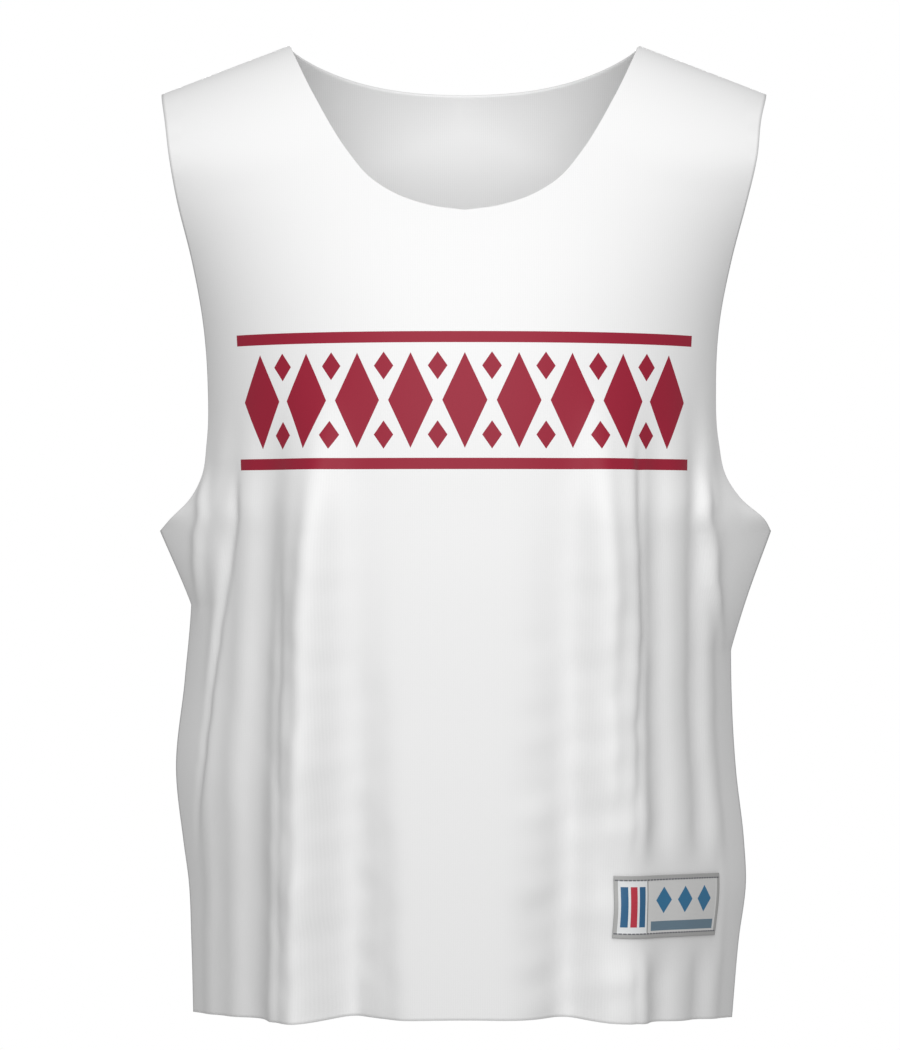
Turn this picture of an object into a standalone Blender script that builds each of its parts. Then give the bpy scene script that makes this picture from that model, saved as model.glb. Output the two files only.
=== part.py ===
"""Reversible lacrosse pinnie, adult large: a hollow sleeveless shirt, filled out as it is worn.

Metres, +Z up. The front faces -Y, and the wearer's left side is +X. The origin is where the
wearer's shoulders hold the shirt up: midway between its two shoulder points at the neck.
Heights are given as drops below that point, and left and right are as seen from the front.
A reversible pinnie is one shirt inside another, so each panel is cut twice: a face side, and a
reverse side that lies against it.
"""

import math
from collections import namedtuple

import bmesh
import bpy
import numpy as np

# The cut
NECK_HALF_WIDTH = 0.131  # centre to the shoulder point at the neck
SHOULDER_HALF_WIDTH = 0.2258  # centre to the shoulder tip
SHOULDER_DROP = 0.036  # the shoulder tip below the shoulder point
SHOULDER_ROUND = 0.100  # height over which the cloth turns from the seam to the chest
BACK_NECK_DROP = 0.0233
BACK_NECK_CURVE = 2.55  # power of the shallow back neck curve
UNDERARM_DROP = 0.363
SIDE_HEM_DROP = {"left": 0.7235, "right": 0.7275}  # the hem at the side seams
HEM_DROP = {"front": 0.7088, "back": 0.7125}  # the hem at the centre, higher than at the sides
HEM_CURVE = 1.7  # power of the hem's fall towards the sides

# The cloth
PLY = 0.0010  # thickness of one side of the shirt
GAP = 0.0003  # clearance at every seam and between pieces that touch
LABEL_THICKNESS = 0.0009

# The round of the body. A section is depth * (1 - across ** power) ** fall, with across from 0 on the
# centre line to 1 at the seam: round at the shoulders, flat in front and pointed at the side seams
# lower down.
Round = namedtuple("Round", "drop power fall")
ROUNDS = [
    Round(0.000, 2.50, 0.40),
    Round(0.120, 2.50, 0.42),
    Round(0.200, 2.35, 0.50),
    Round(0.260, 2.35, 0.58),
    Round(0.360, 2.70, 0.78),
    Round(0.460, 3.00, 0.92),
    Round(0.728, 3.00, 0.95),
]
WING_DEPTH = 0.058  # the flared corner under each arm starts this far in front of the seam
WING_TOP_DROP = 0.310
WING = {"left": 0.0230, "right": 0.0253}  # how far that corner stands out
WING_END_DROP = {"left": 0.418, "right": 0.452}

Neck = namedtuple("Neck", "out drop")
FRONT_NECK = [
    Neck(0.0000, 0.1331),
    Neck(0.0260, 0.1292),
    Neck(0.0500, 0.1207),
    Neck(0.0690, 0.1080),
    Neck(0.0835, 0.0905),
    Neck(0.1087, 0.0477),
    Neck(NECK_HALF_WIDTH, 0.0),
]

# The armhole's edge seen from the front, and how far it lies in front of or behind the seams
Armhole = namedtuple("Armhole", "drop left right front back")
ARMHOLE = [
    Armhole(SHOULDER_DROP, SHOULDER_HALF_WIDTH, SHOULDER_HALF_WIDTH, 0.070, 0.072),
    Armhole(0.061, 0.2197, 0.2175, 0.076, 0.073),
    Armhole(0.092, 0.2145, 0.2125, 0.077, 0.072),
    Armhole(0.122, 0.2095, 0.2060, 0.065, 0.071),
    Armhole(0.165, 0.2000, 0.1960, 0.047, 0.070),
    Armhole(0.210, 0.1926, 0.1882, 0.037, 0.069),
    Armhole(0.255, 0.1895, 0.1860, 0.033, 0.067),
    Armhole(0.297, 0.1902, 0.1880, 0.033, 0.062),
    Armhole(0.326, 0.1952, 0.1952, 0.034, 0.053),
    Armhole(0.340, 0.2036, 0.2058, 0.030, 0.040),
    Armhole(0.355, 0.2197, 0.2242, 0.017, 0.018),
    Armhole(UNDERARM_DROP, 0.2280, 0.2303, 0.000, 0.000),
]

# Half-widths of the torso below the arms
Side = namedtuple("Side", "drop left right")
SIDES = [
    Side(UNDERARM_DROP, 0.2050, 0.2050),
    Side(0.415, 0.2045, 0.2010),
    Side(0.475, 0.2095, 0.2005),
    Side(0.542, 0.2160, 0.2040),
    Side(0.595, 0.2105, 0.2100),
    Side(0.625, 0.2065, 0.2115),
    Side(0.670, 0.2045, 0.2060),
    Side(0.728, 0.2030, 0.2010),
]

# How far the chest and the back stand from the seams, on the centre line
Depth = namedtuple("Depth", "drop front back")
DEPTHS = [
    Depth(0.000, 0.0860, 0.0900),
    Depth(0.060, 0.0900, 0.0960),
    Depth(0.133, 0.1030, 0.1080),
    Depth(0.200, 0.1180, 0.1140),
    Depth(0.270, 0.1275, 0.1140),
    Depth(0.363, 0.1280, 0.1110),
    Depth(0.500, 0.1250, 0.1100),
    Depth(0.620, 0.1250, 0.1120),
    Depth(0.728, 0.1270, 0.1150),
]

# Hanging folds: the drops where one starts and is fully grown, its place along the cloth from the
# centre line at its start and at the hem, how far it stands out, and its width. A trough goes in,
# so that its push is negative.
Fold = namedtuple("Fold", "name start grown at_start at_hem push width")
FOLDS = {
    "front": [
        Fold("left ridge", 0.240, 0.400, -0.104, -0.1230, 0.016, 0.0240),
        Fold("left crest", 0.250, 0.420, -0.099, -0.1120, 0.009, 0.0110),
        Fold("left trough", 0.333, 0.768, -0.0816, -0.0905, -0.0296, 0.0208),
        Fold("left slope", 0.358, 0.786, -0.0743, -0.0626, -0.0103, 0.0138),
        Fold("right swell", 0.371, 0.635, 0.0670, 0.0698, 0.0127, 0.0206),
        Fold("right trough", 0.273, 0.735, 0.0827, 0.0775, -0.0386, 0.0278),
        Fold("right crest", 0.250, 0.420, 0.095, 0.0970, 0.009, 0.0110),
        Fold("right ridge", 0.240, 0.400, 0.104, 0.1110, 0.016, 0.0240),
    ],
    "back": [
        Fold("left side ridge", 0.240, 0.360, -0.190, -0.218, 0.006, 0.010),
        Fold("left outer trough", 0.250, 0.370, -0.165, -0.190, -0.008, 0.012),
        Fold("left ridge", 0.240, 0.380, -0.105, -0.130, 0.022, 0.024),
        Fold("left inner trough", 0.330, 0.740, -0.070, -0.078, -0.020, 0.018),
        Fold("centre ridge", 0.420, 0.760, -0.006, -0.012, 0.009, 0.026),
        Fold("right inner trough", 0.360, 0.760, 0.052, 0.062, -0.018, 0.017),
        Fold("right ridge", 0.250, 0.370, 0.098, 0.115, 0.021, 0.022),
        Fold("right outer trough", 0.260, 0.380, 0.140, 0.160, -0.009, 0.013),
        Fold("right side ridge", 0.250, 0.370, 0.184, 0.208, 0.006, 0.010),
    ],
}
FOLD_WALL = 2.4  # power of a fold's profile, which makes its walls steeper than a bell curve's
FOLD_DRIFT = 0.6  # power of its drift from the first place to the second on the way down
SEAM_CALM = 8  # the folds die out towards the side seam with this power

# The grid of each panel. Columns run from the hem to the neck, shoulder or armhole, each at a share
# of the way from the centre line to the side seam, and they are closest where the folds hang.
NECK_SHARE = 14 / 23  # share at the shoulder point at the neck
LABEL_FROM = 0.397  # shares at the label's two sides
LABEL_TO = 0.812
SHARES = [
    *np.linspace(0.0, 0.20, 3, endpoint=False),
    *np.linspace(0.20, LABEL_FROM, 9, endpoint=False),
    *np.linspace(LABEL_FROM, 0.48, 4, endpoint=False),
    *np.linspace(0.48, NECK_SHARE, 2, endpoint=False),
    *np.linspace(NECK_SHARE, LABEL_TO, 3, endpoint=False),
    *np.linspace(LABEL_TO, 1.0, 4),
]
HALF_COLUMNS = len(SHARES) - 1
NECK_COLUMNS = SHARES.index(NECK_SHARE)
ARMHOLE_ROWS = 11
LABEL_TOP = 0.700  # shares of the way from the underarm to the hem
LABEL_BOTTOM = 0.826
HEM_ROWS = (1.0, 0.915, LABEL_BOTTOM, LABEL_TOP, 0.590, 0.470, 0.350, 0.230, 0.130, 0.060)

FACE_WHITE = (0.90, 0.90, 0.91, 1.0)
REVERSE_WHITE = (0.84, 0.84, 0.86, 1.0)
LABEL_GREY = (0.62, 0.64, 0.66, 1.0)


def along(table, column, drop):
    """A column's value at a drop, on one smooth curve through the table's rows."""
    drops = np.array([row.drop for row in table])
    values = np.array([getattr(row, column) for row in table])
    slopes = np.gradient(values, drops)
    row = np.clip(np.searchsorted(drops, drop) - 1, 0, len(drops) - 2)
    step = drops[row + 1] - drops[row]
    t = np.clip((drop - drops[row]) / step, 0.0, 1.0)
    start, end = values[row], values[row + 1]
    lean_in, lean_out = slopes[row] * step, slopes[row + 1] * step
    bend = (2 * t - 3) * t * t
    return start + (start - end) * bend + lean_in * t * (1 - t) ** 2 - lean_out * t * t * (1 - t)


def quarter(panel, side, drop):
    """One quarter of a section, from the centre line to the seam, and the length along it.

    Above the underarm the section is as wide as it is there.
    """
    angle = np.linspace(0.0, math.pi / 2, 181)
    power, fall = float(along(ROUNDS, "power", drop)), float(along(ROUNDS, "fall", drop))
    out = along(SIDES, side, max(drop, UNDERARM_DROP)) * np.sin(angle) ** (2 / power)
    deep = along(DEPTHS, panel, drop) * np.abs(np.cos(angle)) ** (2 * fall)
    length = np.concatenate(([0.0], np.cumsum(np.hypot(np.diff(out), np.diff(deep)))))
    return out, deep, length


def hem_drop(panel, side, share):
    centre = HEM_DROP[panel]
    return centre + (SIDE_HEM_DROP[side] - centre) * share**HEM_CURVE


def ridge_drop(out):
    """Drop of the shoulder's top line, which runs on over the neck."""
    share = (out - NECK_HALF_WIDTH) / (SHOULDER_HALF_WIDTH - NECK_HALF_WIDTH)
    return SHOULDER_DROP * share


def wing(side, drop, deep):
    """How far the corner under the arm stands out, at a drop and a distance from the seam."""
    above = (drop - WING_TOP_DROP) / (UNDERARM_DROP - WING_TOP_DROP)
    below = (WING_END_DROP[side] - drop) / (WING_END_DROP[side] - UNDERARM_DROP)
    fade = max(0.0, min(1.0, above, below))
    return WING[side] * fade * max(0.0, 1.0 - deep / WING_DEPTH)


def armhole_edge(panel, side, drop):
    """The armhole's edge without the flare: its distance out and from the seam's plane."""
    deep = float(along(ARMHOLE, panel, drop))
    return float(along(ARMHOLE, side, drop)) - wing(side, drop, deep), deep


def chest_depth(panel, side, out, drop):
    """Distance of the cloth from the seam's plane above the underarm."""
    centre = float(along(DEPTHS, panel, drop))
    edge, edge_deep = armhole_edge(panel, side, drop)
    power, fall = float(along(ROUNDS, "power", drop)), float(along(ROUNDS, "fall", drop))
    half_width = edge / (1 - (edge_deep / centre) ** (1 / fall)) ** (1 / power)
    across = min(1.0, out / half_width)
    deep = centre * (1 - across**power) ** fall
    turned = min(1.0, max(0.0, drop - ridge_drop(out)) / SHOULDER_ROUND)
    return deep * math.sqrt(1 - (1 - turned) ** 2)


def front_neck():
    """Points of the front neck's edge, one for each column from the centre to the shoulder."""
    outs = np.array([row.out for row in FRONT_NECK])
    drops = np.array([row.drop for row in FRONT_NECK])
    knots = np.concatenate(([0.0], np.cumsum(np.hypot(np.diff(outs), np.diff(drops)))))
    places = [knots[-1] * share / NECK_SHARE for share in SHARES[: NECK_COLUMNS + 1]]
    Knot = namedtuple("Knot", "drop out down")
    table = [Knot(*values) for values in zip(knots, outs, drops)]
    return [(float(along(table, "out", p)), float(along(table, "down", p))) for p in places]


def back_neck():
    """Points of the back neck's edge, from the centre to the shoulder."""
    outs = [NECK_HALF_WIDTH * share / NECK_SHARE for share in SHARES[: NECK_COLUMNS + 1]]
    fall = [1 - (out / NECK_HALF_WIDTH) ** BACK_NECK_CURVE for out in outs]
    return [(out, BACK_NECK_DROP * share) for out, share in zip(outs, fall)]


def top_edge(panel):
    """(out, drop) where each column ends: the neck's edge, then the shoulder seam."""
    points = front_neck() if panel == "front" else back_neck()
    for share in SHARES[NECK_COLUMNS + 1 :]:
        run = (share - NECK_SHARE) / (1 - NECK_SHARE)
        out = NECK_HALF_WIDTH + (SHOULDER_HALF_WIDTH - NECK_HALF_WIDTH) * run
        points.append((out, ridge_drop(out)))
    return points


def torso_point(panel, side, share, fall):
    """(out, deep, drop) below the underarm; fall is 0 there and 1 at the hem."""
    drop = UNDERARM_DROP + (hem_drop(panel, side, share) - UNDERARM_DROP) * fall
    outs, deeps, length = quarter(panel, side, drop)
    place = share * length[-1]
    deep = float(np.interp(place, length, deeps))
    return float(np.interp(place, length, outs)), deep, drop


def yoke_point(panel, side, share, rise, top):
    """(out, deep, drop) above the underarm; rise is 0 there and 1 at the top edge."""
    start_out = torso_point(panel, side, share, 0.0)[0]
    out = (1 - rise) * start_out + rise * top[0]
    drop = (1 - rise) * UNDERARM_DROP + rise * top[1]
    arm_drop = (1 - rise) * UNDERARM_DROP + rise * SHOULDER_DROP
    corner = armhole_edge(panel, side, UNDERARM_DROP)[0]
    straight = (1 - rise) * corner + rise * SHOULDER_HALF_WIDTH
    out += (armhole_edge(panel, side, arm_drop)[0] - straight) * share**3
    return out, chest_depth(panel, side, out, drop), drop


def fold_push(panel, place, drop):
    """How far the folds push the cloth out, at a place along it and a drop."""
    push = 0.0
    for fold in FOLDS[panel]:
        way = (drop - fold.start) / (HEM_DROP[panel] - fold.start)
        if way <= 0.0:
            continue
        centre = fold.at_start + (fold.at_hem - fold.at_start) * min(1.0, way) ** FOLD_DRIFT
        growth = min(1.0, (drop - fold.start) / (fold.grown - fold.start))
        swell = growth * growth * (3 - 2 * growth)
        push += fold.push * swell * math.exp(-(abs((place - centre) / fold.width) ** FOLD_WALL))
    return push


def normals_of(points, facing):
    """Unit normals of a grid of points, on the side that faces away from the body."""
    across = np.gradient(points, axis=1)
    upward = np.gradient(points, axis=0)
    normals = np.cross(across, upward) * -facing
    return normals / np.linalg.norm(normals, axis=2, keepdims=True)


def panel_grid(panel, facing):
    """(points, normals) of a panel's outer surface, a row for each height from the hem up."""
    top = top_edge(panel)
    rises = [(1 - math.cos(math.pi * k / ARMHOLE_ROWS)) / 2 for k in range(ARMHOLE_ROWS + 1)]
    rows = len(HEM_ROWS) + len(rises)
    points = np.zeros((rows, 2 * HALF_COLUMNS + 1, 3))
    pushes = np.zeros((rows, 2 * HALF_COLUMNS + 1))
    for column in range(-HALF_COLUMNS, HALF_COLUMNS + 1):
        side = "left" if column < 0 else "right"
        sign = -1 if column < 0 else 1
        share = SHARES[abs(column)]
        stack = [torso_point(panel, side, share, fall) for fall in HEM_ROWS]
        stack += [yoke_point(panel, side, share, rise, top[abs(column)]) for rise in rises]
        for row, (out, deep, drop) in enumerate(stack):
            outs, _, length = quarter(panel, side, drop)
            place = sign * float(np.interp(out, outs, length))
            x = sign * (out + wing(side, drop, deep))
            points[row, column + HALF_COLUMNS] = x, facing * deep, -drop
            calm = 1 - share**SEAM_CALM
            pushes[row, column + HALF_COLUMNS] = fold_push(panel, place, drop) * calm
    level = normals_of(points, facing) * (1, 1, 0)
    level /= np.maximum(np.linalg.norm(level, axis=2, keepdims=True), 0.5)
    points += level * pushes[:, :, None]
    return seamed(points, facing)


def seamed(points, facing):
    """Moves a panel's seam edges to half the gap from the seam's plane, and finds its normals."""
    normals = normals_of(points, facing)
    below_arms = len(HEM_ROWS) + 1
    on_seam = np.zeros(points.shape[:2], bool)
    on_seam[:below_arms, [0, -1]] = True
    on_seam[-1, : HALF_COLUMNS - NECK_COLUMNS + 1] = True
    on_seam[-1, HALF_COLUMNS + NECK_COLUMNS :] = True
    points[on_seam, 1] = facing * GAP / 2
    normals[on_seam, 1] = 0.0
    normals /= np.linalg.norm(normals, axis=2, keepdims=True)
    return points, normals


def wall(name, grid, facing, outer, inner, colour, middle=HALF_COLUMNS):
    """A closed sheet of cloth between two distances from a grid, measured inward.

    The triangles lie in mirror image about the middle column, so that sheets made from the
    same grid keep the same gap all over.
    """
    points, normals = grid
    rows, columns = points.shape[:2]
    mesh = bmesh.new()
    skins = []
    for depth in (outer, inner):
        places = (points - normals * depth).reshape(-1, 3)
        skins.append([mesh.verts.new(place) for place in places])

    def triangle(a, b, c):
        mesh.faces.new((a, b, c) if facing < 0 else (c, b, a))

    for row in range(rows - 1):
        for column in range(columns - 1):
            low, high = row * columns + column, (row + 1) * columns + column
            for skin, order in zip(skins, (1, -1)):
                a, b, c, d = (skin[i] for i in (low, low + 1, high + 1, high))
                if column >= middle:
                    corners = ((a, b, c), (a, c, d))
                else:
                    corners = ((a, b, d), (b, c, d))
                for corner in corners:
                    triangle(*corner[::order])
    edge = [(0, c) for c in range(columns)] + [(r, columns - 1) for r in range(1, rows)]
    edge += [(rows - 1, c) for c in range(columns - 2, -1, -1)]
    edge += [(r, 0) for r in range(rows - 2, 0, -1)]
    loop = [row * columns + column for row, column in edge]
    for here, there in zip(loop, loop[1:] + loop[:1]):
        triangle(skins[1][here], skins[1][there], skins[0][there])
        triangle(skins[1][here], skins[0][there], skins[0][here])
    return finished(name, mesh, colour)


def finished(name, mesh, colour):
    """The named object of a mesh, smooth shaded, in a material of its own."""
    data = bpy.data.meshes.new(name)
    mesh.to_mesh(data)
    mesh.free()
    data.shade_smooth()
    material = bpy.data.materials.new(name)
    material.use_nodes = True
    shader = material.node_tree.nodes["Principled BSDF"]
    shader.inputs["Base Color"].default_value = colour
    shader.inputs["Roughness"].default_value = 0.6
    shader.inputs["Metallic"].default_value = 0.0
    data.materials.append(material)
    made = bpy.data.objects.new(name, data)
    bpy.context.scene.collection.objects.link(made)
    return made


def label(grid, facing):
    """The woven label, made from the front panel's points and moved out."""
    first, last = (HALF_COLUMNS + SHARES.index(share) for share in (LABEL_FROM, LABEL_TO))
    bottom, top = HEM_ROWS.index(LABEL_BOTTOM), HEM_ROWS.index(LABEL_TOP)
    patch = [sheet[bottom : top + 1, first : last + 1] for sheet in grid]
    outer = -(GAP + LABEL_THICKNESS)
    return wall("hem_label", patch, facing, outer, -GAP, LABEL_GREY, HALF_COLUMNS - first)


def main():
    for old in list(bpy.data.objects):
        bpy.data.objects.remove(old)
    hung_from = bpy.data.objects.new("pinnie", None)
    bpy.context.scene.collection.objects.link(hung_from)
    pieces = []
    for panel, facing in (("front", -1), ("back", 1)):
        grid = panel_grid(panel, facing)
        outer = PLY + GAP
        inner = outer + PLY
        pieces.append(wall(panel, grid, facing, 0.0, PLY, FACE_WHITE))
        pieces.append(wall(panel + "_reverse", grid, facing, outer, inner, REVERSE_WHITE))
        if panel == "front":
            pieces.append(label(grid, facing))
    for piece in pieces:
        piece.parent = hung_from


main()
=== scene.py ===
import math

import bmesh
import bpy
import numpy as np
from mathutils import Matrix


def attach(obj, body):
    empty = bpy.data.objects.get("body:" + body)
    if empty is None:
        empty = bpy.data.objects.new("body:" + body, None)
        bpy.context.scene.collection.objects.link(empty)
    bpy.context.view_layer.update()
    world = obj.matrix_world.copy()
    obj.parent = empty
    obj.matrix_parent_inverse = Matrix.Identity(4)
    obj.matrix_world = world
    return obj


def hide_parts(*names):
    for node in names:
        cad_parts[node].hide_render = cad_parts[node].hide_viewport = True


# Reversible lacrosse pinnie, filled out as it is worn. Metres, front towards -Y, wearer's left at +X.
# Heights are drops below the shoulder points at the neck; left and right are as seen from the front.
# Places on a panel are measured along the cloth from its centre line.

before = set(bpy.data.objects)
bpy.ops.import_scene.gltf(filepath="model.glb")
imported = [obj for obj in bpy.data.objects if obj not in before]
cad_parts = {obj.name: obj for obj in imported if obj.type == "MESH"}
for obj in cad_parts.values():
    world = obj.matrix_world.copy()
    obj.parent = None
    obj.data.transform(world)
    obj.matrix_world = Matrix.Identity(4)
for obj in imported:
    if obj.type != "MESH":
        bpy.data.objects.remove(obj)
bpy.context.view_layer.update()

cut = {
    "neckHalfWidth": 0.131, "shoulderHalfWidth": 0.2258, "shoulderDrop": 0.036,
    "shoulderRound": 0.100,  # height over which the cloth turns from the seam to the chest
    "underarmDrop": 0.363,
    "sideHem": {"left": 0.7235, "right": 0.7275},
    "centreHem": {"front": 0.7088, "back": 0.7125},
    "hemCurve": 1.7,
    # a section is depth * (1 - across ** power) ** fall: round at the shoulders, pointed at the side seams
    "roundDrop": [0.0, 0.12, 0.20, 0.26, 0.36, 0.46, 0.728],
    "power": [2.5, 2.5, 2.35, 2.35, 2.7, 3.0, 3.0],
    "fall": [0.40, 0.42, 0.50, 0.58, 0.78, 0.92, 0.95],
    "backNeckDrop": 0.0233, "backNeckCurve": 2.55,
    "frontNeckOut": [0.0, 0.0260, 0.0500, 0.0690, 0.0835, 0.1087, 0.131],
    "frontNeckDrop": [0.1331, 0.1292, 0.1207, 0.1080, 0.0905, 0.0477, 0.0],
    "neckShare": 14 / 23,  # share of a panel's half width at the top that the neck takes
}

cloth = {
    "halfColumns": 92, "hemRows": 150, "yokeRows": 100,
    "sectionSteps": 180,  # steps along a quarter of a section
    "ply": 0.0010, "gap": 0.0003,  # one side of the shirt, and the room between the two sides
    "closeEnough": 1e-6,  # shares nearer than this count as the same
}


def smoothStep(t):
    t = np.clip(t, 0.0, 1.0)
    return t * t * (3 - 2 * t)


def smoothCurve(knots, values, at):
    # one smooth curve through the values at the knots
    knots, values = np.array(knots), np.array(values)
    slopes = np.gradient(values, knots)
    cell = np.clip(np.searchsorted(knots, at) - 1, 0, len(knots) - 2)
    step = knots[cell + 1] - knots[cell]
    t = np.clip((at - knots[cell]) / step, 0.0, 1.0)
    start, end = values[cell], values[cell + 1]
    bend = (2 * t - 3) * t * t
    return (start + (start - end) * bend + slopes[cell] * step * t * (1 - t) ** 2
            - slopes[cell + 1] * step * t * t * (1 - t))


def sectionRound(drop):
    return smoothCurve(cut["roundDrop"], cut["power"], drop), smoothCurve(cut["roundDrop"], cut["fall"], drop)


def bySide(share, left, right):
    return np.where(share < 0, left, right)


torso = {  # half widths below the arms
    "drop": [0.363, 0.415, 0.475, 0.542, 0.595, 0.625, 0.670, 0.728],
    "left": [0.2050, 0.2045, 0.2095, 0.2160, 0.2105, 0.2065, 0.2045, 0.2030],
    "right": [0.2050, 0.2010, 0.2005, 0.2040, 0.2100, 0.2115, 0.2060, 0.2010],
}


def torsoWidth(share, drop):
    return bySide(share, smoothCurve(torso["drop"], torso["left"], drop),
                  smoothCurve(torso["drop"], torso["right"], drop))


depth = {  # how far the chest and the back stand from the seams, on the centre line
    "drop": [0.000, 0.060, 0.133, 0.200, 0.270, 0.363, 0.500, 0.620, 0.728],
    "front": [0.0860, 0.0900, 0.1030, 0.1180, 0.1275, 0.1280, 0.1250, 0.1250, 0.1270],
    "back": [0.0900, 0.0960, 0.1080, 0.1140, 0.1140, 0.1110, 0.1100, 0.1120, 0.1150],
}


def quarterSection(panel, share, drop):
    # one quarter of the section at each drop, from the centre line to the seam, and the length along it
    angle = np.linspace(0.0, math.pi / 2, cloth["sectionSteps"] + 1)
    power, fall = (values[..., None] for values in sectionRound(drop))
    halfWidth = torsoWidth(share, np.maximum(drop, cut["underarmDrop"]))[..., None]
    out = halfWidth * np.sin(angle) ** (2 / power)
    deep = smoothCurve(depth["drop"], depth[panel], drop)[..., None] * np.abs(np.cos(angle)) ** (2 * fall)
    run = np.cumsum(np.hypot(np.diff(out), np.diff(deep)), axis=-1)
    return out, deep, np.concatenate((np.zeros(run.shape[:-1] + (1,)), run), axis=-1)


def readOff(known, at, *wanted):
    # values of the wanted curves where the known one reaches a value
    cell = np.clip((known < at[..., None]).sum(-1) - 1, 0, known.shape[-1] - 2)[..., None]

    def pick(values, step):
        return np.take_along_axis(values, cell + step, -1)[..., 0]

    t = np.clip((at - pick(known, 0)) / (pick(known, 1) - pick(known, 0)), 0.0, 1.0)
    return [pick(values, 0) * (1 - t) + pick(values, 1) * t for values in wanted]


def hemDrop(panel, share):
    centre = cut["centreHem"][panel]
    side = bySide(share, cut["sideHem"]["left"], cut["sideHem"]["right"])
    return centre + (side - centre) * np.abs(share) ** cut["hemCurve"]


def ridgeDrop(out):
    # drop of the shoulder's top line, which runs on over the neck
    run = (out - cut["neckHalfWidth"]) / (cut["shoulderHalfWidth"] - cut["neckHalfWidth"])
    return cut["shoulderDrop"] * run


# the flared corner under each arm
wing = {"depth": 0.058, "top": 0.310, "left": 0.0230, "right": 0.0253,
        "endLeft": 0.418, "endRight": 0.452}


def wingOut(share, drop, deep):
    # how far the corner under the arm stands out
    end = bySide(share, wing["endLeft"], wing["endRight"])
    above = (drop - wing["top"]) / (cut["underarmDrop"] - wing["top"])
    below = (end - drop) / (end - cut["underarmDrop"])
    fade = np.clip(np.minimum(above, below), 0.0, 1.0)
    return bySide(share, wing["left"], wing["right"]) * fade * np.maximum(0.0, 1.0 - deep / wing["depth"])


armhole = {  # its edge seen from the front, and how far it lies in front of or behind the seams
    "drop": [0.036, 0.061, 0.092, 0.122, 0.165, 0.210, 0.255, 0.297, 0.326, 0.340, 0.355, 0.363],
    "left": [0.2258, 0.2197, 0.2145, 0.2095, 0.2000, 0.1926, 0.1895, 0.1902, 0.1952, 0.2036, 0.2197, 0.2280],
    "right": [0.2258, 0.2175, 0.2125, 0.2060, 0.1960, 0.1882, 0.1860, 0.1880, 0.1952, 0.2058, 0.2242, 0.2303],
    "front": [0.070, 0.076, 0.077, 0.065, 0.047, 0.037, 0.033, 0.033, 0.034, 0.030, 0.017, 0.000],
    "back": [0.072, 0.073, 0.072, 0.071, 0.070, 0.069, 0.067, 0.062, 0.053, 0.040, 0.018, 0.000],
}


def armholeEdge(panel, share, drop):
    # the armhole's edge without the flare: its distance out and from the seam's plane
    deep = smoothCurve(armhole["drop"], armhole[panel], drop)
    out = bySide(share, smoothCurve(armhole["drop"], armhole["left"], drop),
                 smoothCurve(armhole["drop"], armhole["right"], drop))
    return out - wingOut(share, drop, deep), deep


def topEdge(panel, share):
    # (out, drop) where each column of the panel ends: the neck's edge, then the shoulder seam
    part = np.abs(share) / cut["neckShare"]
    if panel == "front":
        outs, drops = np.array(cut["frontNeckOut"]), np.array(cut["frontNeckDrop"])
        knots = np.concatenate(([0.0], np.cumsum(np.hypot(np.diff(outs), np.diff(drops)))))
        place = np.minimum(part, 1.0) * knots[-1]
        neckOut, neckDrop = smoothCurve(knots, outs, place), smoothCurve(knots, drops, place)
    else:
        neckOut = np.minimum(part, 1.0) * cut["neckHalfWidth"]
        neckDrop = cut["backNeckDrop"] * (1 - np.minimum(part, 1.0) ** cut["backNeckCurve"])
    over = np.clip((np.abs(share) - cut["neckShare"]) / (1 - cut["neckShare"]), 0.0, 1.0)
    seamOut = cut["neckHalfWidth"] + (cut["shoulderHalfWidth"] - cut["neckHalfWidth"]) * over
    return np.where(part > 1, seamOut, neckOut), np.where(part > 1, ridgeDrop(seamOut), neckDrop)


def normalsOf(points, facing):
    # the way out of the cloth at each point
    normals = np.cross(np.gradient(points, axis=1), np.gradient(points, axis=0)) * -facing
    return normals / np.linalg.norm(normals, axis=2, keepdims=True)


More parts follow.
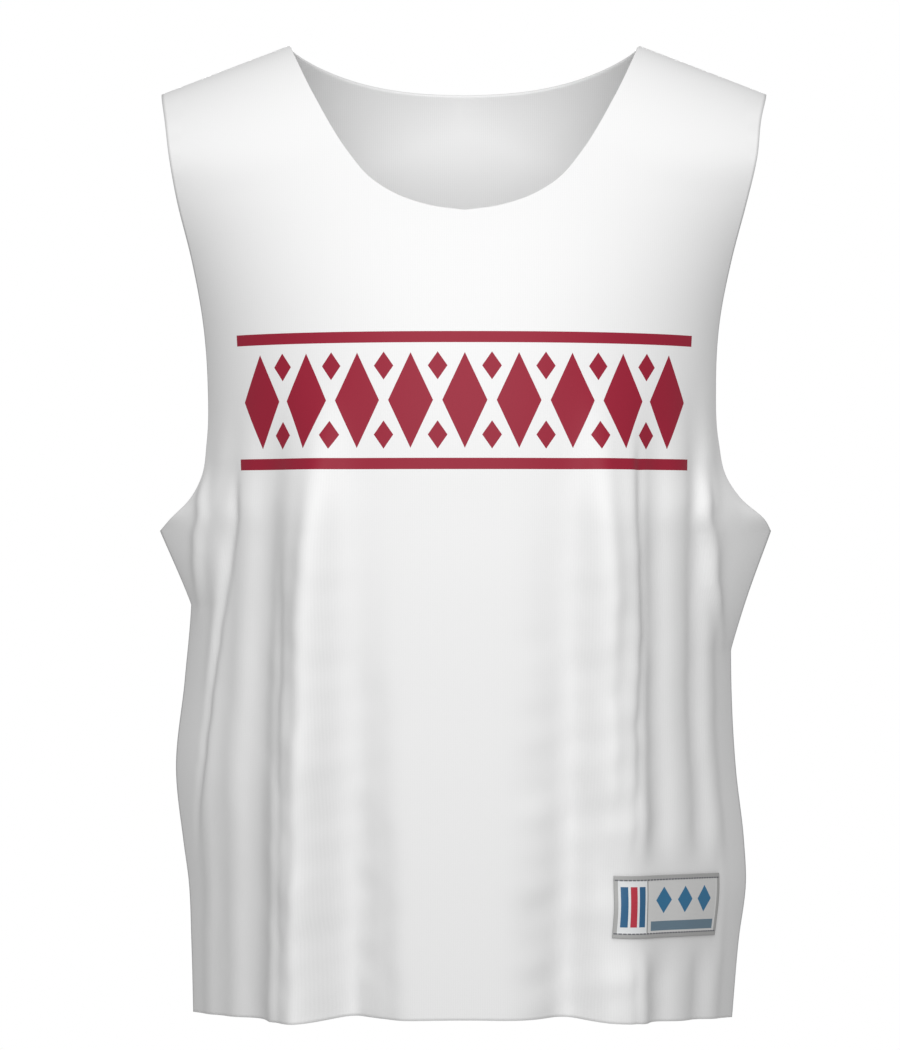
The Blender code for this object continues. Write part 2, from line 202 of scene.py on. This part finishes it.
# Hanging folds: drops where one starts and is fully grown, its place at the start and at the hem,
# how far it stands out, or in where that is negative, and its width
folds = {
    "front": [
        (0.250, 0.380, -0.190, -0.226, 0.0020, 0.010),  # left side ridge
        (0.240, 0.360, -0.160, -0.190, 0.0012, 0.010),  # left shelf
        (0.240, 0.370, -0.136, -0.168, -0.0022, 0.014),  # left flank
        (0.240, 0.400, -0.104, -0.1230, 0.016, 0.0240),  # left ridge
        (0.250, 0.420, -0.099, -0.1120, 0.009, 0.0110),  # its inner crest
        (0.400, 0.560, -0.122, -0.1380, 0.0015, 0.009),  # its outer crest
        (0.333, 0.768, -0.0816, -0.0905, -0.0296, 0.0208),  # left inner trough
        (0.358, 0.786, -0.0743, -0.0626, -0.0103, 0.0138),  # its slope to the middle
        (0.273, 0.735, 0.0827, 0.0775, -0.0386, 0.0278),  # right inner trough
        (0.371, 0.635, 0.0670, 0.0698, 0.0127, 0.0206),  # the swell beside it
        (0.240, 0.400, 0.104, 0.1110, 0.016, 0.0240),  # right ridge
        (0.250, 0.420, 0.095, 0.0970, 0.009, 0.0110),  # its inner crest
        (0.260, 0.360, 0.124, 0.1270, 0.0015, 0.009),  # its outer crest
        (0.240, 0.350, 0.140, 0.148, -0.0015, 0.012),  # right flank
        (0.240, 0.360, 0.160, 0.170, 0.002, 0.013),  # right shelf
        (0.240, 0.350, 0.180, 0.197, -0.0025, 0.010),  # right side valley
        (0.240, 0.350, 0.194, 0.219, 0.0025, 0.010),  # right side ridge
    ],
    "back": [
        (0.240, 0.360, -0.190, -0.218, 0.006, 0.010),  # left side ridge
        (0.250, 0.370, -0.165, -0.190, -0.008, 0.012),  # left flank
        (0.240, 0.380, -0.105, -0.130, 0.022, 0.024),  # left ridge
        (0.330, 0.740, -0.070, -0.078, -0.020, 0.018),  # left inner trough
        (0.420, 0.760, -0.006, -0.012, 0.009, 0.026),  # the swell in the middle
        (0.360, 0.760, 0.052, 0.062, -0.018, 0.017),  # right inner trough
        (0.250, 0.370, 0.098, 0.115, 0.021, 0.022),  # right ridge
        (0.260, 0.380, 0.140, 0.160, -0.009, 0.013),  # right flank
        (0.250, 0.370, 0.184, 0.208, 0.006, 0.010),  # right side ridge
    ],
}


hang = {
    "spread": 0.6, "round": 2.4,  # powers of a fold's way to its place at the hem, and of its section
    "seamCalm": 8,  # the folds die out towards the side seam with this power
    "levelLeast": 0.5,  # where the cloth lies flatter than this, a fold stands out less
    # a fold's line swings by so much, over so long a drop, shifted from fold to fold
    "swings": [(0.0009, 0.110, 37), (0.0004, 0.049, 61), (0.00025, 0.027, 83)],
    "swingsAtTop": 0.35, "swingsFrom": 0.300, "swingsGrown": 0.480,
    "uneven": (0.06, 0.087, 53),  # its depth changes by this share, over so long a drop
    "slim": 0.020,  # folds narrower than this are uneven
}


def swing(drop, seed):
    # how far a fold's line strays at each height, since folds are never straight
    grown = smoothStep((drop - hang["swingsFrom"]) / (hang["swingsGrown"] - hang["swingsFrom"]))
    grown = hang["swingsAtTop"] + (1 - hang["swingsAtTop"]) * grown
    waves = (far * np.sin(2 * np.pi * (drop / long + turn * seed)) for far, long, turn in hang["swings"])
    return grown * sum(waves)


def unevenness(drop, seed):
    # how a slim fold swells and thins along its line
    share, long, turn = hang["uneven"]
    return 1 + share * np.sin(2 * np.pi * (drop / long + turn * seed))


def foldPush(panel, place, drop):
    # how far all the folds together stand out
    push = np.zeros_like(place)
    for start, grown, placeAtStart, placeAtHem, out, width in folds[panel]:
        way = np.clip((drop - start) / (cut["centreHem"][panel] - start), 0.0, 1.0)
        centre = placeAtStart + (placeAtHem - placeAtStart) * way ** hang["spread"] + swing(drop, placeAtHem)
        grownBy = smoothStep((drop - start) / (grown - start))
        if width < hang["slim"]:
            grownBy = grownBy * unevenness(drop, placeAtHem)
        push += out * grownBy * np.exp(-(np.abs((place - centre) / width) ** hang["round"]))
    return push


# Creases laid in one by one: the path as (place, drop) points, how far it stands out, width,
# and the shares of its length over which it fades in and out
creases = {
    "front": [
        {"path": [(-0.134, 0.34), (-0.1325, 0.41), (-0.1325, 0.48), (-0.1315, 0.59), (-0.1335, 0.76)],
         "out": -0.0022, "width": 0.0050, "fade": (0.30, 0.02)},  # between the crests of the left ridge
        {"path": [(0.128, 0.28), (0.127, 0.385), (0.129, 0.44), (0.1235, 0.50), (0.122, 0.555),
                  (0.122, 0.76)],
         "out": -0.0026, "width": 0.0048, "fade": (0.12, 0.02)},  # between those of the right ridge
        {"path": [(-0.220, 0.31), (-0.2225, 0.35), (-0.2235, 0.377), (-0.237, 0.41), (-0.246, 0.44)],
         "out": 0.0050, "width": 0.0060, "fade": (0.20, 0.50)},  # edge of the left flare
        {"path": [(-0.1787, 0.31), (-0.190, 0.37), (-0.198, 0.403), (-0.2085, 0.441), (-0.2165, 0.482),
                  (-0.220, 0.529), (-0.2325, 0.573), (-0.244, 0.62)],
         "out": -0.0038, "width": 0.0048, "fade": (0.15, 0.35)},  # down from the left armhole
        {"path": [(0.192, 0.30), (0.1985, 0.357), (0.206, 0.401), (0.226, 0.435), (0.243, 0.465)],
         "out": 0.0048, "width": 0.0060, "fade": (0.25, 0.40)},  # edge of the right flare
    ],
    "back": [
        {"path": [(-0.122, 0.42), (-0.127, 0.55), (-0.131, 0.76)],
         "out": -0.005, "width": 0.0055, "fade": (0.35, 0.02)},  # down the left ridge
        {"path": [(0.103, 0.40), (0.109, 0.56), (0.114, 0.76)],
         "out": -0.005, "width": 0.0060, "fade": (0.35, 0.02)},  # down the right ridge
    ],
}


def creasePush(crease, place, drop):
    # how far a crease stands out, from the distance to the nearest stretch of its path
    path = np.array(crease["path"])
    place = place - swing(drop, path[-1][0])
    lengths = np.hypot(*np.diff(path, axis=0).T)
    nearest, along = np.full(place.shape, np.inf), np.zeros(place.shape)
    for i, length in enumerate(lengths):
        step = path[i + 1] - path[i]
        t = ((place - path[i][0]) * step[0] + (drop - path[i][1]) * step[1]) / length**2
        t = np.clip(t, 0.0, 1.0)
        distance = np.hypot(place - path[i][0] - t * step[0], drop - path[i][1] - t * step[1])
        closer = distance < nearest
        nearest = np.where(closer, distance, nearest)
        along = np.where(closer, (lengths[:i].sum() + t * length) / lengths.sum(), along)
    fadeIn, fadeOut = crease["fade"]
    swell = smoothStep(along / fadeIn) * smoothStep((1 - along) / fadeOut)
    return crease["out"] * swell * unevenness(drop, path[-1][0]) * np.exp(-((nearest / crease["width"]) ** 2))


def layFolds(panel, facing, points, place, drop, size):
    # pushes the folds out level, then the creases out along the cloth's own normals
    calm = 1 - size ** hang["seamCalm"]
    level = normalsOf(points, facing) * (1, 1, 0)
    level /= np.maximum(np.linalg.norm(level, axis=2, keepdims=True), hang["levelLeast"])
    points = points + level * (foldPush(panel, place, drop) * calm)[:, :, None]
    push = sum(creasePush(crease, place, drop) for crease in creases[panel]) * calm
    return points + normalsOf(points, facing) * push[:, :, None]


ease = {
    "passes": 36, "rows": 18, "plateau": 1.5,  # how often, over how many rows, and how long in full
    "edge": 0.90,  # share of the way to the side seam where it starts to fade out
}


def easeJoin(points, row, size):
    # rounds the form where the chest meets the torso, but not the corner under the arm
    eased = points.copy()
    for _ in range(ease["passes"]):
        eased[1:-1] = (eased[:-2] + 2 * eased[1:-1] + eased[2:]) / 4
    rowsOff = np.abs(np.arange(len(points)) - row)[:, None] / ease["rows"]
    inner = 1 - smoothStep((size - ease["edge"]) / (1 - ease["edge"]))
    weight = smoothStep(ease["plateau"] * (1 - rowsOff)) * inner
    return points + (eased - points) * weight[:, :, None]


# the woven tag at the wearer's left hem, and how the cloth lies flat under it
label = {
    "top": 0.700, "bottom": 0.826,  # shares of the way from the underarm to the hem
    "from": 0.397, "to": 0.812,  # shares of the way from the centre line to the side seam
    "thick": 0.0009, "calmPasses": 60, "margin": 0.10,  # the margin is a share too
    "finer": 4, "rim": 0.0034, "rimSlope": 0.0006, "rimRise": 0.0003,  # its folded border
}


def calmLabel(points, share, fall):
    # the stiff label holds the cloth behind it nearly flat
    calm = points.copy()
    for _ in range(label["calmPasses"]):
        calm[:, 1:-1] = (calm[:, :-2] + 2 * calm[:, 1:-1] + calm[:, 2:]) / 4
    margin = label["margin"]
    across = np.minimum(share - label["from"], label["to"] - share)
    down = np.minimum(fall - label["top"], label["bottom"] - fall)
    weight = smoothStep(1 + across / margin) * smoothStep(1 + down / margin)
    return points + (calm - points) * weight[:, :, None]


def gridShares():
    # each point's share of the way from the centre line to the edge, from the underarm down to the hem,
    # and from the underarm up to the top, a row for each height from the hem up
    half, low, high = cloth["halfColumns"], cloth["hemRows"], cloth["yokeRows"]
    share = np.linspace(-1.0, 1.0, 2 * half + 1)[None, :].repeat(low + high + 1, axis=0)
    fall = np.concatenate((np.linspace(1.0, 0.0, low + 1), np.zeros(high)))[:, None]
    rise = np.linspace(0.0, 1.0, high + 1)
    rise = (rise + (1 - np.cos(np.pi * rise)) / 2) / 2  # finer at both ends of the armhole
    return share, fall, np.concatenate((np.zeros(low), rise))[:, None]


def torsoForm(panel, share, fall):
    # distance out, distance from the seams' plane and drop of each point below the arms
    drop = cut["underarmDrop"] + (hemDrop(panel, share) - cut["underarmDrop"]) * fall
    outs, deeps, run = quarterSection(panel, share, drop)
    out, deep = readOff(run, np.abs(share) * run[..., -1], outs, deeps)
    return out, deep, drop


def yokeForm(panel, share, rise, underarmOut):
    # the same from the underarm up to the neck and the shoulder seam
    underarm = cut["underarmDrop"]
    topOut, topDrop = topEdge(panel, share)
    out = (1 - rise) * underarmOut + rise * topOut
    drop = (1 - rise) * underarm + rise * topDrop
    armDrop = (1 - rise) * underarm + rise * cut["shoulderDrop"]
    corner = armholeEdge(panel, share, np.full_like(share, underarm))[0]
    straight = (1 - rise) * corner + rise * cut["shoulderHalfWidth"]
    out += (armholeEdge(panel, share, armDrop * np.ones_like(share))[0] - straight) * np.abs(share) ** 3
    centre = smoothCurve(depth["drop"], depth[panel], drop)
    edge, edgeDeep = armholeEdge(panel, share, drop)
    power, fall = sectionRound(drop)
    halfWidth = edge / (1 - (edgeDeep / centre) ** (1 / fall)) ** (1 / power)
    across = np.minimum(1.0, out / halfWidth)
    turned = np.clip((drop - ridgeDrop(out)) / cut["shoulderRound"], 0.0, 1.0)
    deep = centre * (1 - across**power) ** fall * np.sqrt(1 - (1 - turned) ** 2)
    return out, deep, drop


def panelForm(panel, facing):
    # points, normals and (place, height) of a panel's outer surface
    low = cloth["hemRows"]
    share, fall, rise = gridShares()
    size = np.abs(share)
    lower = torsoForm(panel, share, fall)
    upper = yokeForm(panel, share, rise, lower[0][low])
    inYoke = np.arange(len(share))[:, None] > low
    out, deep, drop = (np.where(inYoke, above, below) for above, below in zip(upper, lower))
    outs, _, run = quarterSection(panel, share, drop)
    place = np.sign(share) * readOff(outs, out, run)[0]

    points = np.stack((np.sign(share) * (out + wingOut(share, drop, deep)), facing * deep, -drop), axis=2)
    points = easeJoin(points, low, size)
    points = layFolds(panel, facing, points, place, drop, size)
    if panel == "front":
        points = calmLabel(points, share, fall)

    # both edges of a seam end in the seam's plane
    onSeam = np.zeros(share.shape, bool)
    onSeam[: low + 1, [0, -1]] = True
    onSeam[-1] = size[-1] >= cut["neckShare"] - cloth["closeEnough"]
    points[onSeam, 1] = 0.0
    normals = normalsOf(points, facing)
    normals[onSeam, 1] = 0.0
    normals /= np.linalg.norm(normals, axis=2, keepdims=True)
    return points, normals, np.stack((place, -drop), axis=2)


def sheetMesh(name, points, across, facing):
    # a grid of cloth laid on the points, with its places on the cut as a UV map
    rows, columns = points.shape[0] - 1, points.shape[1] - 1
    bm = bmesh.new()
    bmesh.ops.create_grid(bm, x_segments=columns, y_segments=rows, size=1.0)
    uvLayer = bm.loops.layers.uv.new("cut")
    for vert in bm.verts:
        column = round((vert.co.x + 1) / 2 * columns)
        row = round((vert.co.y + 1) / 2 * rows)
        vert.co = points[row, column]
        vert.index = row * (columns + 1) + column
    flat = across.reshape(-1, 2)
    for face in bm.faces:
        for loop in face.loops:
            loop[uvLayer].uv = flat[loop.vert.index]
    if facing > 0:
        bmesh.ops.reverse_faces(bm, faces=bm.faces)
    mesh = bpy.data.meshes.new(name)
    bm.to_mesh(mesh)
    bm.free()
    mesh.shade_smooth()
    made = bpy.data.objects.new(name, mesh)
    bpy.context.scene.collection.objects.link(made)
    return made


def finerGrid(grid, times):
    # the same surface with more rows and columns
    for axis in (0, 1):
        count = grid.shape[axis]
        at = np.linspace(0, count - 1, (count - 1) * times + 1)
        low = np.minimum(at.astype(int), count - 2)
        t = (at - low).reshape((-1, 1, 1) if axis == 0 else (1, -1, 1))
        grid = np.take(grid, low, axis) * (1 - t) + np.take(grid, low + 1, axis) * t
    return grid


def labelForm(points, normals):
    # the label's outer surface with its raised folded border, its places from its middle, and its size
    half, low = cloth["halfColumns"], cloth["hemRows"]
    rows = slice(round((1 - label["bottom"]) * low), round((1 - label["top"]) * low) + 1)
    columns = slice(half + round(label["from"] * half), half + round(label["to"] * half) + 1)
    under, out = (finerGrid(grid[rows, columns], label["finer"]) for grid in (points, normals))
    size = [np.linalg.norm(np.diff(under, axis=axis), axis=2).sum(axis=axis).mean() for axis in (1, 0)]
    up, across = np.meshgrid(*(np.linspace(-0.5, 0.5, count) * length
                               for count, length in zip(under.shape[:2], size[::-1])), indexing="ij")
    fromEdge = np.minimum(size[0] / 2 - np.abs(across), size[1] / 2 - np.abs(up))
    rim = 1 - smoothStep((fromEdge - label["rim"]) / label["rimSlope"])
    lift = cloth["gap"] + label["thick"] + label["rimRise"] * rim
    return under + out * lift[:, :, None], np.stack((across, up), axis=2), size


def thicken(piece, thickness):
    # the cloth's own thickness, inwards from its outer surface
    wall = piece.modifiers.new("ply", "SOLIDIFY")
    wall.thickness, wall.offset, wall.use_quality_normals = thickness, -1.0, True


def rgb(hexColour):
    # an sRGB hex value as linear colour
    parts = [int(hexColour[i:i + 2], 16) / 255 for i in (1, 3, 5)]
    return tuple(c / 12.92 if c <= 0.04045 else ((c + 0.055) / 1.055) ** 2.4 for c in parts) + (1.0,)


def addNode(tree, kind, inputs=None, **settings):
    node = tree.nodes.new(kind)
    for key, value in settings.items():
        setattr(node, key, value)
    for key, value in (inputs or {}).items():
        if isinstance(value, bpy.types.NodeSocket):
            tree.links.new(value, node.inputs[key])
        else:
            node.inputs[key].default_value = value
    return node


def calc(tree, operation, *values):
    return addNode(tree, "ShaderNodeMath", dict(enumerate(values)), operation=operation).outputs[0]


def newMaterial(name):
    made = bpy.data.materials.new(name)
    made.use_nodes = True
    return made, made.node_tree, made.node_tree.nodes["Principled BSDF"]


def mixColours(tree, share, first, second):
    return addNode(tree, "ShaderNodeMix", {0: share, 6: first, 7: second}, data_type="RGBA").outputs[2]


knit = {
    "face": ("#dfdfdf", "#e2e2e2"), "reverse": ("#e6e6e6", "#ebebeb"),  # the grooves, darker as painted shade, and the ribs; the reverse is painted lighter than the face as light inside the shirt
    "rough": 0.60, "gloss": 0.35, "sheen": 0.06,
    # interlock wales are 0.7 mm apart; they are drawn at 1.6 mm, with courses of 1.2 mm, so that they show
    "wale": 0.0016, "course": 0.0012, "courseShare": 0.5, "bump": 0.035, "bumpDepth": 0.0002,
}


def knitSurface(tree, shader, colours):
    # the stitches as bump, with painted shade in the grooves; gives back the places on the cut and the colour
    # with that painted shade
    cutMap = addNode(tree, "ShaderNodeUVMap", uv_map="cut")
    split = addNode(tree, "ShaderNodeSeparateXYZ", {0: cutMap.outputs[0]})
    across, down = split.outputs[0], split.outputs[1]
    wale = calc(tree, "SINE", calc(tree, "MULTIPLY", across, 2 * math.pi / knit["wale"]))
    course = calc(tree, "SINE", calc(tree, "MULTIPLY", down, 2 * math.pi / knit["course"]))
    height = calc(tree, "ADD", wale, calc(tree, "MULTIPLY", course, knit["courseShare"]))
    bump = addNode(tree, "ShaderNodeBump",
                   {"Height": height, "Strength": knit["bump"], "Distance": knit["bumpDepth"]})
    tree.links.new(bump.outputs[0], shader.inputs["Normal"])
    raised = calc(tree, "MULTIPLY_ADD", height, 0.5 / (1 + knit["courseShare"]), 0.5)
    # painted shade: the grooves between the ribs are coloured darker than the ribs, as if in shadow
    shade = mixColours(tree, raised, *(rgb(hexColour) for hexColour in colours))
    shader.inputs["Roughness"].default_value = knit["rough"]
    shader.inputs["Specular IOR Level"].default_value = knit["gloss"]
    shader.inputs["Sheen Weight"].default_value = knit["sheen"]
    return across, down, shade


def away(tree, value, middle):
    # distance of a value from its middle
    return calc(tree, "ABSOLUTE", calc(tree, "SUBTRACT", value, middle))


def lozenge(tree, sideways, upright, halfWidth, halfHeight):
    reach = calc(tree, "ADD", calc(tree, "DIVIDE", sideways, halfWidth),
                 calc(tree, "DIVIDE", upright, halfHeight))
    return calc(tree, "LESS_THAN", reach, 1.0)


def block(tree, sideways, upright, halfWidth, halfHeight):
    reach = calc(tree, "MAXIMUM", calc(tree, "DIVIDE", sideways, halfWidth),
                 calc(tree, "DIVIDE", upright, halfHeight))
    return calc(tree, "LESS_THAN", reach, 1.0)


# a generic printed band: a row of large lozenges, small ones between them, and a rule above and below
chestPrint = {
    "ink": "#8e0d2b", "drop": 0.270, "pitch": 0.0385, "halfLength": 0.1756,
    "large": (0.0160, 0.0340),  # half sizes of a lozenge
    "small": (0.0070, 0.0100), "smallUp": 0.0245, "smallReach": 0.1640,
    "rule": (0.0450, 0.0040),  # how far up and down, and half its width
}


def faceKnit():
    # smooth polyester interlock knit: soft white with a low satin gloss, and a crimson screen print
    made, tree, shader = newMaterial("white polyester interlock knit")
    across, down, white = knitSurface(tree, shader, knit["face"])
    height = away(tree, down, -chestPrint["drop"])
    size = calc(tree, "ABSOLUTE", across)
    pitch = chestPrint["pitch"]

    def fromCentre(shift):
        # distance from the middle of the motif whose turn it is
        cells = calc(tree, "ADD", calc(tree, "DIVIDE", across, pitch), shift)
        return calc(tree, "MULTIPLY", away(tree, calc(tree, "FRACT", cells), 0.5), pitch)

    large = calc(tree, "MULTIPLY", lozenge(tree, fromCentre(0.5), height, *chestPrint["large"]),
                 calc(tree, "LESS_THAN", size, chestPrint["halfLength"]))
    fromSmall = away(tree, height, chestPrint["smallUp"])
    small = calc(tree, "MULTIPLY", lozenge(tree, fromCentre(0.0), fromSmall, *chestPrint["small"]),
                 calc(tree, "LESS_THAN", size, chestPrint["smallReach"]))
    ruleUp, ruleHalf = chestPrint["rule"]
    rule = block(tree, size, away(tree, height, ruleUp), chestPrint["halfLength"], ruleHalf)
    inked = calc(tree, "MAXIMUM", calc(tree, "MAXIMUM", large, small), rule)
    tree.links.new(mixColours(tree, inked, white, rgb(chestPrint["ink"])), shader.inputs["Base Color"])
    return made


def plainKnit(name, colours):
    # the same knit with no print on it
    made, tree, shader = newMaterial(name)
    shade = knitSurface(tree, shader, colours)[2]
    tree.links.new(shade, shader.inputs["Base Color"])
    return made


# plain woven motifs: the kind, its middle from the label's middle, its half sizes and its colour
labelArt = {
    "border": "#a6a6a5", "field": "#cfcfce", "rough": 0.48,
    # threads are 0.2 mm apart; they are drawn at 0.9 mm so that they show
    "thread": 0.0009, "threadColour": "#6f7072", "threadShare": 0.05, "bump": 0.25, "bumpDepth": 0.0001,
    "motifs": [
        (block, -0.0405, 0.0, 0.0118, 0.0188, "#dfe1e2"),
        (block, -0.0478, 0.0, 0.0027, 0.0145, "#1f5c85"),
        (block, -0.0405, 0.0, 0.0027, 0.0145, "#b5273b"),
        (block, -0.0332, 0.0, 0.0027, 0.0145, "#1f5c85"),
        (block, -0.0282, 0.0, 0.0005, 0.0190, "#8a8a89"),
        (block, 0.0125, -0.0140, 0.0370, 0.0034, "#627a8a"),
        (lozenge, -0.0110, 0.0045, 0.0085, 0.0096, "#1f6b94"),
        (lozenge, 0.0125, 0.0045, 0.0085, 0.0096, "#1f6b94"),
        (lozenge, 0.0360, 0.0045, 0.0085, 0.0096, "#1f6b94"),
    ],
    "stitchAndShadowColour": "#606167", "stitchIn": 0.0032, "stitchHalf": 0.0005,  # dark stitches that also stand as painted shadow of the border; how far in, and half its width
    "stitch": 0.0032, "stitchShare": 0.78,
}


def labelSatin(width, height):
    # woven polyester satin: a low gloss over fine threads that run across it, sewn down with grey thread that
    # is drawn dark as painted shadow along the inner edge of the border
    made, tree, shader = newMaterial("woven polyester satin")
    labelMap = addNode(tree, "ShaderNodeUVMap", uv_map="cut")
    split = addNode(tree, "ShaderNodeSeparateXYZ", {0: labelMap.outputs[0]})
    across, up = split.outputs[0], split.outputs[1]
    colour = rgb(labelArt["border"])
    field = block(tree, calc(tree, "ABSOLUTE", across), calc(tree, "ABSOLUTE", up),
                  width / 2 - label["rim"], height / 2 - label["rim"])
    colour = mixColours(tree, field, colour, rgb(labelArt["field"]))
    for shape, middleAcross, middleUp, halfWidth, halfHeight, hexColour in labelArt["motifs"]:
        mask = shape(tree, away(tree, across, middleAcross), away(tree, up, middleUp), halfWidth, halfHeight)
        colour = mixColours(tree, mask, colour, rgb(hexColour))
    # the line of stitches near the top and the bottom, dark as the painted shadow of the raised border's
    # inner edge
    near = away(tree, calc(tree, "ABSOLUTE", up), height / 2 - labelArt["stitchIn"])
    onLine = calc(tree, "LESS_THAN", near, labelArt["stitchHalf"])
    inStitch = calc(tree, "LESS_THAN", calc(tree, "FRACT", calc(tree, "DIVIDE", across, labelArt["stitch"])),
                    labelArt["stitchShare"])
    colour = mixColours(tree, calc(tree, "MULTIPLY", onLine, inStitch), colour, rgb(labelArt["stitchAndShadowColour"]))
    threads = calc(tree, "SINE", calc(tree, "MULTIPLY", up, 2 * math.pi / labelArt["thread"]))
    shade = calc(tree, "MULTIPLY_ADD", threads, labelArt["threadShare"], labelArt["threadShare"])
    colour = mixColours(tree, shade, colour, rgb(labelArt["threadColour"]))
    tree.links.new(colour, shader.inputs["Base Color"])
    bump = addNode(tree, "ShaderNodeBump",
                   {"Height": threads, "Strength": labelArt["bump"], "Distance": labelArt["bumpDepth"]})
    tree.links.new(bump.outputs[0], shader.inputs["Normal"])
    shader.inputs["Roughness"].default_value = labelArt["rough"]
    return made


def standFor(piece, node, material):
    # gives a piece its material and lets it stand for a node of the frame
    piece.data.materials.append(material)
    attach(piece, "root")
    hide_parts(node)


faceMaterials = {
    "front": faceKnit(),
    "back": plainKnit("white polyester interlock knit, unprinted", knit["face"]),
}
# the reverse's lighter colour is painted light: it brightens the inside of the shirt, which the lamps reach
# little
reverseMaterialPaintedLighter = plainKnit("white polyester interlock knit, reverse, painted lighter", knit["reverse"])
print("made the knits")

for panel, facing in (("front", -1), ("back", 1)):
    points, normals, across = panelForm(panel, facing)
    face = sheetMesh(panel + "Face", points, across, facing)
    reverse = sheetMesh(panel + "Reverse", points - normals * (cloth["ply"] + cloth["gap"]), across, facing)
    standFor(face, panel, faceMaterials[panel])
    standFor(reverse, panel + "_reverse", reverseMaterialPaintedLighter)
    for piece in (face, reverse):
        thicken(piece, cloth["ply"])
    print("made the", panel)
    if panel == "front":
        lifted, ownPlaces, (labelWidth, labelHeight) = labelForm(points, normals)
        tag = sheetMesh("hemLabel", lifted, ownPlaces, facing)
        thicken(tag, label["thick"])
        standFor(tag, "hem_label", labelSatin(labelWidth, labelHeight))
        print("made the hem label, %.4f by %.4f m" % (labelWidth, labelHeight))

studio = {
    "floorDrop": 1.42,  # the floor is as far below as when the shirt is worn
    "floorHalf": 1.5, "floorColour": "#efefef", "floorRough": 0.8,
    "ambient": 0.36, "backdrop": 1.0,  # the light that the sky gives, and how bright the camera sees it
    "lamps": {  # each one's place, size, power and turn about X
        "key": ((0.0, -1.40, -0.08), 0.9, 12.0, 84),
        "top": ((0.0, -0.80, 1.20), 1.4, 12.5, 30),
        "behind": ((0.0, 1.70, 0.10), 1.0, 17.0, -80),
    },
}

bm = bmesh.new()
bmesh.ops.create_grid(bm, x_segments=1, y_segments=1, size=studio["floorHalf"])
bmesh.ops.translate(bm, verts=bm.verts, vec=(0, 0, -studio["floorDrop"]))
floorMesh = bpy.data.meshes.new("floor")
bm.to_mesh(floorMesh)
bm.free()
floor = bpy.data.objects.new("floor", floorMesh)
bpy.context.scene.collection.objects.link(floor)
# plain matt wall paint: even, pale and without gloss
floorMaterial, floorTree, floorShader = newMaterial("pale matt paint")
floorShader.inputs["Base Color"].default_value = rgb(studio["floorColour"])
floorShader.inputs["Roughness"].default_value = studio["floorRough"]
floorMesh.materials.append(floorMaterial)

# a soft white sky that lights the shirt less than the camera sees of it
world = bpy.data.worlds.new("studio")
world.use_nodes = True
bpy.context.scene.world = world
sky = world.node_tree
sky.nodes.clear()
lit = addNode(sky, "ShaderNodeBackground", {"Color": (1, 1, 1, 1), "Strength": studio["ambient"]})
seen = addNode(sky, "ShaderNodeBackground", {"Color": (1, 1, 1, 1), "Strength": studio["backdrop"]})
path = addNode(sky, "ShaderNodeLightPath")
both = addNode(sky, "ShaderNodeMixShader",
               {0: path.outputs["Is Camera Ray"], 1: lit.outputs[0], 2: seen.outputs[0]})
addNode(sky, "ShaderNodeOutputWorld", {0: both.outputs[0]})

for name, (spot, across, power, turn) in studio["lamps"].items():
    lamp = bpy.data.lights.new(name, "AREA")
    lamp.size, lamp.energy = across, power
    stand = bpy.data.objects.new(name, lamp)
    stand.location = spot
    stand.rotation_euler = (math.radians(turn), 0, 0)
    bpy.context.scene.collection.objects.link(stand)
print("made the studio")

# the photo looks at the shirt level, from straight in front
view = {"distance": 2.2, "across": -0.0105, "height": -0.3585, "frameHeight": 0.7875, "sensor": 36.0}
cameraData = bpy.data.cameras.new("camera")
cameraData.sensor_width = view["sensor"]
cameraData.lens = view["sensor"] * view["distance"] / view["frameHeight"]
camera = bpy.data.objects.new("camera", cameraData)
camera.location = (view["across"], -view["distance"], view["height"])
camera.rotation_euler = (math.pi / 2, 0, 0)
bpy.context.scene.collection.objects.link(camera)
bpy.context.scene.camera = camera
bpy.context.scene.view_settings.view_transform = "Standard"
